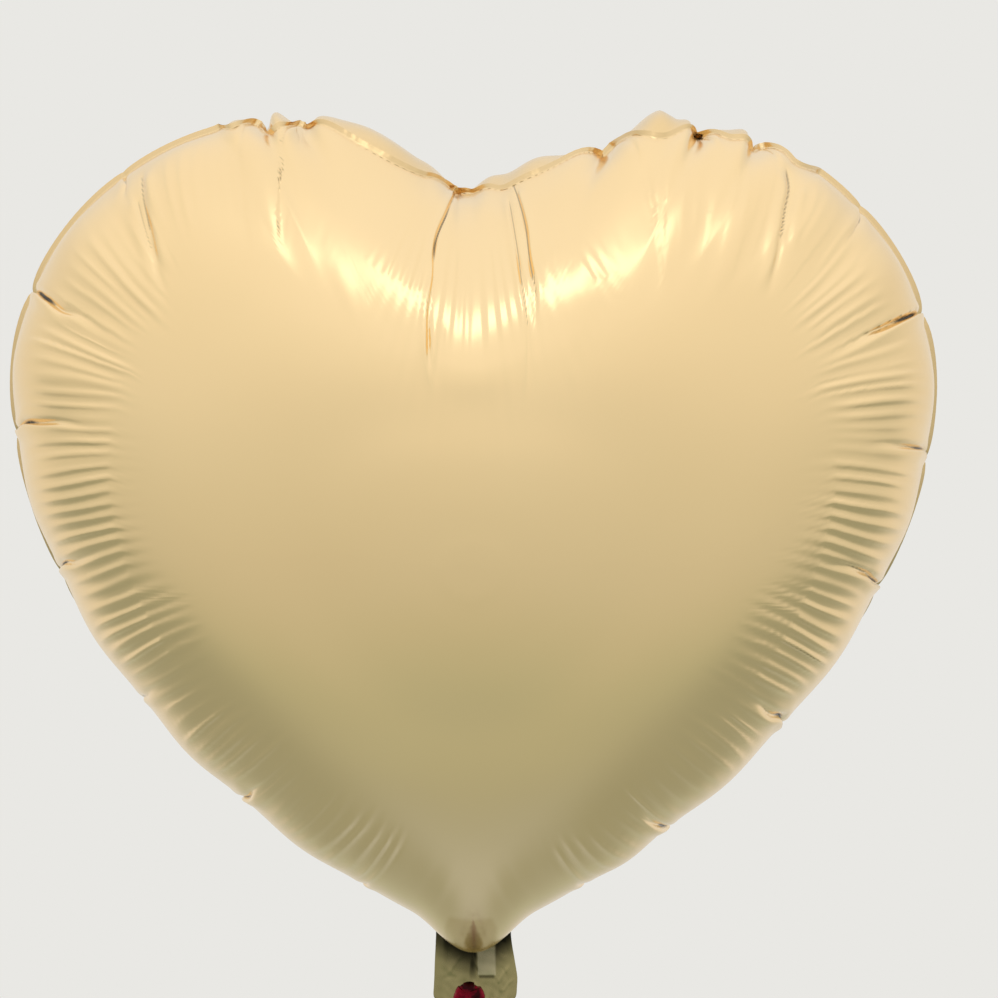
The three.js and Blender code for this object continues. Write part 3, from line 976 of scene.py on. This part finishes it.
def film_piece(name, front, seed, material, node):
    """The panel with its weld flange outside the seam."""
    side = Side(envelope, wander, front)
    points = side.wrinkled(seed)
    edge = points[:, 0]
    outward = side.normal[:, 0]
    backward = unit(np.array([0, 1.0, 0]) - outward * outward[:, 1:2])
    low = 1 - smooth(120, 210, edge[:, 2])
    tilt = np.radians(38 + np.clip(wander * 2.0, 0, 26) + 36 * low)[:, None]
    aim = outward * np.cos(tilt) + backward * np.sin(tilt)
    place = side.place[:, 0]
    wobble = 0.05 * np.sin(2 * math.pi * place / 4.3) + 0.3 * wave_noise(place, 9, 91, side.round)
    wobble = wobble * (0.6 + 0.9 * smooth(2, 8, wander))
    weld = []
    for share in (1, 0.66, 0.33):
        strip = edge + aim * FLANGE * share
        strip[:, 1] += wobble * share + (-0.06 if front else 0.06)
        weld.append(strip)
    grid = np.concatenate([np.stack(weld, 1), points], 1)
    count, rows = grid.shape[:2]
    everything = np.vstack([grid.reshape(-1, 3), grid[:, -1].mean(0)])
    piece = make_piece(name, everything, film_faces(count, rows), material, "envelope", (node,))
    for label, values in side.marks().items():
        rim = np.repeat(values[:, :1], len(weld), 1) * 0.3
        store(piece, label, np.append(np.concatenate([rim, values], 1), 0))
    on_weld = np.broadcast_to(np.arange(rows) < len(weld), (count, rows))
    store(piece, "weld", np.append(on_weld, 0))


spokes = spaced_spokes([math.radians(pleat[0]) for pleat in PLEATS] + [math.radians(CLEFT_ANGLE)])
envelope = Envelope(film, spokes)
wander = wander_at(spokes)
film_piece("front_film", True, 11, SATIN, "front_panel")
film_piece("back_film", False, 57, GLOSS, "back_panel")


# ---------------------------------------------------------------- the tail
TAIL_TOP = 42.0                     # the tail's upper end, inside the heart
TAIL_END = tail_low[2]
TAIL_HALF = tail_high[0]
TIE_Z = (wrap_low[2] + wrap_high[2]) / 2 + 1.5
# The tail's edges: height, then how far to the left and to the right.
TAIL_EDGES = [
    (TAIL_END, 17.5, 17.3), (-30, 17.3, 17.5), (-16, 17.4, 17.1), (-9, 15.6, 15.2), (-5.0, 12.4, 12.2),
    (-2.0, 8.6, 8.8), (1.2, 7.5, 7.5), (4.0, 11.4, 11.6), (5.8, 15.4, 16.0), (7.8, 16.9, 17.6),
    (12.0, 16.8, 18.0), (16, 16.6, 18.1), (22, 16.4, 17.2), (30.6, 16.0, 15.8), (35.6, 15.9, 15.5),
    (38.4, 16.8, 16.6), (TAIL_TOP, 18.6, 18.8),
]
# Ridges (+) and valleys (-) of the front sheet: line of x and z, height, width.
TAIL_FOLDS = [
    ([(-0.6, 38), (-0.4, 30), (0.0, 22), (0.6, 12)], -0.9, 0.9),
    ([(-4.6, 38), (-4.2, 26), (-3.6, 12)], 0.7, 1.6),
    ([(2.0, 38), (2.2, 28), (2.6, 14)], 0.45, 0.7),
    ([(12.6, 42), (12.0, 34), (12.6, 24)], -2.2, 2.0),
    ([(15.2, 40), (15.4, 30), (16.6, 18)], 0.5, 0.8),
    ([(-12.8, 42), (-12.4, 30), (-12.6, 18)], 0.9, 1.5),
    ([(-9.0, 40), (-9.4, 31), (-10.5, 20)], -1.0, 1.6),
    ([(-10.6, 17.5), (-8.2, 21.5), (-5.2, 25.5)], 0.55, 0.7),
    ([(-13.5, 15), (-9.8, 16.4), (-6.2, 15.2)], -0.4, 0.9),
    ([(9.6, 13.0), (12.0, 17.0), (15.6, 21.6)], 0.6, 0.65),
    ([(12.0, 9.5), (14.4, 13.2), (17.4, 15.6)], 0.6, 0.6),
    ([(10.6, 21.5), (13.4, 17.0), (14.4, 11.0)], -0.5, 0.7),
    ([(8.4, 17.6), (10.8, 13.4), (11.4, 9.0)], 0.4, 0.6),
    ([(-13.4, -12), (-11.6, -22), (-12.4, -34)], 0.8, 1.8),
    ([(-3.2, -9), (-5.2, -22), (-4.2, -40)], -0.9, 1.5),
    ([(4.4, -9), (6.6, -20), (5.6, -36)], 0.8, 1.6),
    ([(11.8, -10), (12.8, -24), (10.8, -40)], -0.8, 1.4),
    ([(8.0, -24), (11.0, -29), (15.0, -31)], 0.5, 0.8),
    ([(-14.6, -26), (-10.4, -30), (-7.2, -37)], -0.5, 0.9),
]
PATCH = (1.7, 8.9, 17.2, 28.4)      # the valve's end showing through: x and z limits
VALVE_ROOM = 0.35                   # a tail sheet stays this far from the middle, where the valve lies


def tail_shade(x, z):
    """How dark the front sheet is below the heart's overhang, in its middle crease and under the patch."""
    low_x, high_x, low_z, _ = PATCH
    under_belly = 32.4 + 10.4 * np.abs(x / 18.3) ** 1.5
    beside = smooth(0.6, 1.8, x) * smooth(9.4, 8.2, x)
    contact = 1 - smooth(3.5, 20.0, under_belly - z) ** 1.5
    contact = contact * (1 - 0.45 * beside) * (1 - 0.12 * smooth(-11.8, -13.4, x))
    corner = np.exp(-((x - 11.8) / 3.8) ** 4) * smooth(24.5, 31.5, z)
    crease = np.exp(-((x + 0.6) / 1.7) ** 4) * smooth(13, 22, z) ** 0.7 * 0.93
    under_patch = smooth(low_x, low_x + 0.8, x) * smooth(high_x, high_x - 0.8, x)
    under_patch = 0.75 * under_patch * np.exp(-((z - low_z + 0.9) / 0.7) ** 2)
    return np.maximum(np.maximum(contact, corner), np.maximum(crease, under_patch))


def tail_sheet(side):
    """One sheet of the tail, gathered where it is tied: side -1 in front, 1 behind."""
    rows = np.concatenate([np.arange(TAIL_TOP, 14, -0.55), np.arange(14, -10, -0.3),
                           np.arange(-10, TAIL_END, -0.7), [TAIL_END]])
    z, u = np.meshgrid(rows, np.linspace(-1, 1, 105), indexing="ij")
    edge_z, left, right = catmull(np.array(TAIL_EDGES), 8).T
    x = u * np.where(u < 0, np.interp(z, edge_z, left), np.interp(z, edge_z, right))
    flat = u * TAIL_HALF
    tie = np.exp(-(np.abs(z - TIE_Z) / 5.5) ** 2.2)
    open_edge = 1 - u ** 6              # 0 where the two sheets are welded
    puff = 2.0 * smooth(24, 38, z) + 1.2 + 1.6 * tie
    y = side * puff * (1 - u ** 4) ** 0.6
    crumple = 0.16 * np.sin(0.9 * z + 1.3 * np.sin(0.6 * x)) * np.sin(0.75 * x + 0.4 * z + side)
    y = y + side * crumple * open_edge
    phase = 2 * math.pi * flat / 4.4 + 1.6 * np.sin(flat / 5.0 + side) + 0.02 * z * side
    gather = 0.9 * np.exp(-((z - TIE_Z) / 6.0) ** 2) + 0.10 * np.exp(-np.abs(z - TIE_Z) / 12)
    y = y + side * gather * np.sin(phase) * open_edge
    y = y + 0.22 * np.sin(0.19 * z + 0.25 * flat + side) * smooth(TAIL_TOP, 20, z)
    for line, height, width in TAIL_FOLDS:
        if side > 0:
            line = [(-a * 0.92 + 1.4, b - 1.5) for a, b in line]
        gap, place = fold_place(x, z, line)
        fade = smooth(0, 0.2, place) * (1 - smooth(0.8, 1, place)) * (np.abs(gap) < 20)
        y = y + side * 0.8 * height * fade * np.exp(-(gap / width) ** 2) * open_edge
    low_x, high_x, low_z, high_z = PATCH
    patch = smooth(low_x - 0.4, low_x, x) * smooth(high_x + 0.4, high_x, x)
    patch = patch * smooth(low_z - 0.35, low_z, z) * smooth(high_z + 1, high_z, z)
    y = y - 0.2 * patch * (side < 0)
    y = side * np.maximum(side * y, VALVE_ROOM * open_edge)
    return np.stack([x, y, z], -1), tail_shade(x, z) * (side < 0), patch


def bend_at_fold(piece):
    """Bakes the strip's placement into its points."""
    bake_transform(piece)


def make_tail(side, name, node):
    points, shade, patch = tail_sheet(side)
    faces = grid_faces(*points.shape[:2])
    piece = make_piece(name, points, faces, TAIL, None, (node,), side > 0)
    store(piece, "shade", shade)
    store(piece, "patch", patch)
    bend_at_fold(piece)


make_tail(-1, "tail_front_film", "tail_front")
make_tail(1, "tail_back_film", "tail_back")


# ---------------------------------------------------------------- the valve between the films
def make_valve(side, name, nodes):
    """A strip of clear film, gathered where the tail is tied, from inside the heart to below the tie."""
    half, _, top = list(corners(nodes[0]))[1]
    bottom = list(corners(nodes[1]))[0][2]
    z, u = np.meshgrid(np.linspace(top, bottom, 110), np.linspace(-1, 1, 41), indexing="ij")
    tie = np.exp(-(np.abs(z - TIE_Z) / 6.0) ** 2.2)
    x = u * half * (1 - 0.55 * tie) * (1 - 0.08 * smooth(top - 5, top, z))
    y = side * (0.04 + 0.08 * (1 - u ** 2) + 0.05 * tie * np.sin(9 * u + side))
    y = y + 0.03 * side * np.sin(z / 3.1 + 2 * u)
    points = np.stack([x, y, z], -1)
    bend_at_fold(make_piece(name, points, grid_faces(110, 41), CLEAR, None, nodes, side > 0))


make_valve(-1, "valve_front_film", ("valve_inner_front", "valve_tail_front"))
make_valve(1, "valve_back_film", ("valve_inner_back", "valve_tail_back"))


# ---------------------------------------------------------------- the ribbon tied round the tail
def make_wrap():
    """Two turns of ribbon round the gathered tail, one climbing over the other."""
    half_x, half_y, _ = wrap_high - 1.1
    a = np.linspace(-math.pi / 2, 4.2 * math.pi - math.pi / 2, 230)
    turn = (a - a[0]) / (a[-1] - a[0])
    grow = 0.35 * np.sin(math.pi * turn) + 0.25 * turn
    x, y = superellipse(a, 0.8)
    climb = TIE_Z - 1.6 + 3.0 * turn + 0.4 * np.sin(1.5 * a)
    ring = np.stack([(half_x + grow) * x, (half_y + grow) * y, climb], -1)
    across = np.stack([0.10 * np.sin(a), 0.1 * np.cos(2 * a), np.ones_like(a)], -1)
    points, faces = ribbon_strip(ring, across, crown=0.45)
    return make_piece("tie_wrap", points, faces, CRIMSON, "tail", ("ribbon_wrap",))


# Bands of the knot: tilt in degrees, sideways shift, width, lift off the core, seed.
KNOT_BANDS = [
    (12, -4.0, 4.4, 0.45, 3), (-6, 0.2, 4.6, 0.75, 5), (16, 3.9, 4.2, 0.4, 9), (-50, 1.2, 4.4, 1.15, 11),
    (70, -3.2, 4.6, 0.9, 17),
]


def make_knot():
    """The knot: bands of ribbon pulled tight over a filled core, as one closed piece."""
    centre = (knot_low + knot_high) / 2 + [-1.8, 0.6, 1.2]
    radii = (knot_high - knot_low) / 2 + [-1.0, -0.3, -0.2]
    rows, columns = 150, 200
    pole = 0.012                    # the first and last ring's angle from the axis
    t, a = np.meshgrid(np.linspace(pole, math.pi - pole, rows),
                       np.linspace(0, 2 * math.pi, columns, endpoint=False), indexing="ij")
    ball = np.stack([np.sin(t) * np.cos(a), np.sin(t) * np.sin(a), np.cos(t)], -1)
    core = ball * radii
    height = 0.12 * np.sin(5 * a + 3 * t) * np.sin(t)
    for tilt, shift, width, lift, seed in KNOT_BANDS:
        sine, cosine = math.sin(math.radians(tilt)), math.cos(math.radians(tilt))
        along, side = np.array([sine, 0, cosine]), np.array([cosine, 0, -sine])
        turn = np.arctan2(core[..., 1], core @ along) / (2 * math.pi)
        off = core @ side - shift - 0.6 * wave_noise(turn, 0.2, seed, 1.0)
        edge = np.abs(off) / (width / 2)
        fold = 0.32 * wave_noise(turn + 0.05 * off, 0.07, seed + 1, 1.0)
        fold = fold + 0.16 * np.cos(2.4 * off + 9 * turn)
        band = smooth(1.0, 0.84, edge) * (lift + fold * np.sin(t))
        height = np.maximum(height, band)
    points = core + unit(ball / radii) * height[..., None] + centre
    faces = tube_faces(rows, columns)
    return make_piece("tie_knot", points, faces, CRIMSON, "tail", ("ribbon_knot",))


def make_cut_end():
    """The short spare end below the knot, curled and cut at a slant."""
    y = knot_low[1] - 0.3
    line = catmull(np.array([
        [1.2, y + 0.6, 5.0], [2.0, y - 0.2, 1.0], [2.5, y - 1.2, -4.0], [3.4, y - 1.7, -9.5],
        [4.6, y - 1.3, -15.0], [5.6, y - 0.4, -19.0], [6.0, y + 0.9, -21.6],
    ]), 7)
    turn = np.linspace(0, 1, len(line))
    across = np.stack([np.cos(0.9 * turn), -np.sin(0.9 * turn) * 0.8, 0.15 + 0 * turn], -1)
    points, faces = ribbon_strip(line, across, crown=0.35)
    grid = points.reshape(len(line), -1, 3)
    across_width = np.linspace(2, -2, 5)
    slant = np.outer(np.append(across_width, across_width[::-1]), unit(line[-1] - line[-2]))
    slanted = 5                     # the last rows, moved more and more
    for k in range(slanted):
        grid[k - slanted] += slant * (k + 1) / slanted
    return make_piece("cut_end", grid, faces, CRIMSON, "tail", ("ribbon_end",))


for tied in (make_wrap(), make_knot(), make_cut_end()):
    tied.visible_glossy = False


# ---------------------------------------------------------------- studio
# Brightness of the room by the height of the direction looked in, from straight down to straight up.
SKY = [
    (-1.0, (0.50, 0.57, 0.64)), (-0.92, (0.44, 0.50, 0.52)), (-0.8, (0.44, 0.49, 0.46)),
    (-0.7, (0.48, 0.54, 0.48)), (-0.55, (0.57, 0.60, 0.56)), (-0.35, (0.64, 0.66, 0.65)),
    (-0.1, (0.69, 0.71, 0.70)), (0.1, (0.74, 0.76, 0.76)), (0.3, (0.83, 0.84, 0.85)),
    (0.5, (0.90, 0.91, 0.92)), (0.75, (0.98, 0.99, 1.02)), (1.0, (1.0, 1.02, 1.08)),
]
DARK_SIDES = [(-0.66, 0.12, -0.74), (0.66, 0.12, -0.74)]


def make_sky(world):
    """A pale room: light above, a pale wall behind, and two darker corners low down."""
    m = Nodes(world)
    aim = m.coordinates["Generated"]
    _, back, up = m.node("ShaderNodeSeparateXYZ", {0: aim}).outputs
    ramp = m.node("ShaderNodeValToRGB", {0: m.remap(up, -1, 1)})
    ramp.color_ramp.interpolation = "EASE"
    stops = ramp.color_ramp.elements
    while len(stops) < len(SKY):
        stops.new(0.5)
    for stop, (at, colour) in zip(stops, SKY):
        stop.position = (at + 1) / 2
        stop.color = colour + (1,)
    wall = m.math("MULTIPLY", m.rise(back, 0.15, 0.6), m.rise(up, -0.6, -0.3))
    wall = m.math("MULTIPLY", wall, m.rise(up, 0.5, 0.15))
    colour = m.mix(wall, ramp.outputs[0], rgb(233, 232, 228))
    for side in DARK_SIDES:
        dot = m.node("ShaderNodeVectorMath", {0: aim, 1: side}, operation="DOT_PRODUCT").outputs["Value"]
        colour = m.mix(m.rise(dot, 0.80, 0.97), colour, (0.36, 0.405, 0.37, 1))
    m.feed(m.tree.nodes["Background"], {"Color": colour, "Strength": 1.0})


def make_floor():
    bpy.ops.mesh.primitive_circle_add(vertices=96, radius=2.6, fill_type="NGON", location=(0, 0, -1))
    floor = bpy.context.object
    floor.name = "floor"
    m = new_material("pale_floor")
    m.set(Base_Color=rgb(214, 213, 206), Roughness=0.8)
    floor.data.materials.append(m.owner)
    floor.visible_glossy = False


def make_lamp():
    """A wide lamp above and in front, which gives the streaks below the cleft."""
    data = bpy.data.lights.new("ceiling", "AREA")
    data.shape = "RECTANGLE"
    data.size = 0.75
    data.size_y = 0.3
    data.energy = 0.72
    lamp = bpy.data.objects.new("ceiling", data)
    bpy.context.collection.objects.link(lamp)
    lamp.location = (0.06, -0.66, 1.85)
    aim = Vector((0, 0, 0.2)) - lamp.location
    lamp.rotation_euler = aim.to_track_quat("-Z", "Y").to_euler()


world = bpy.data.worlds.new("studio")
bpy.context.scene.world = world
make_sky(world)
make_floor()
make_lamp()
bpy.context.scene.view_settings.view_transform = "Standard"
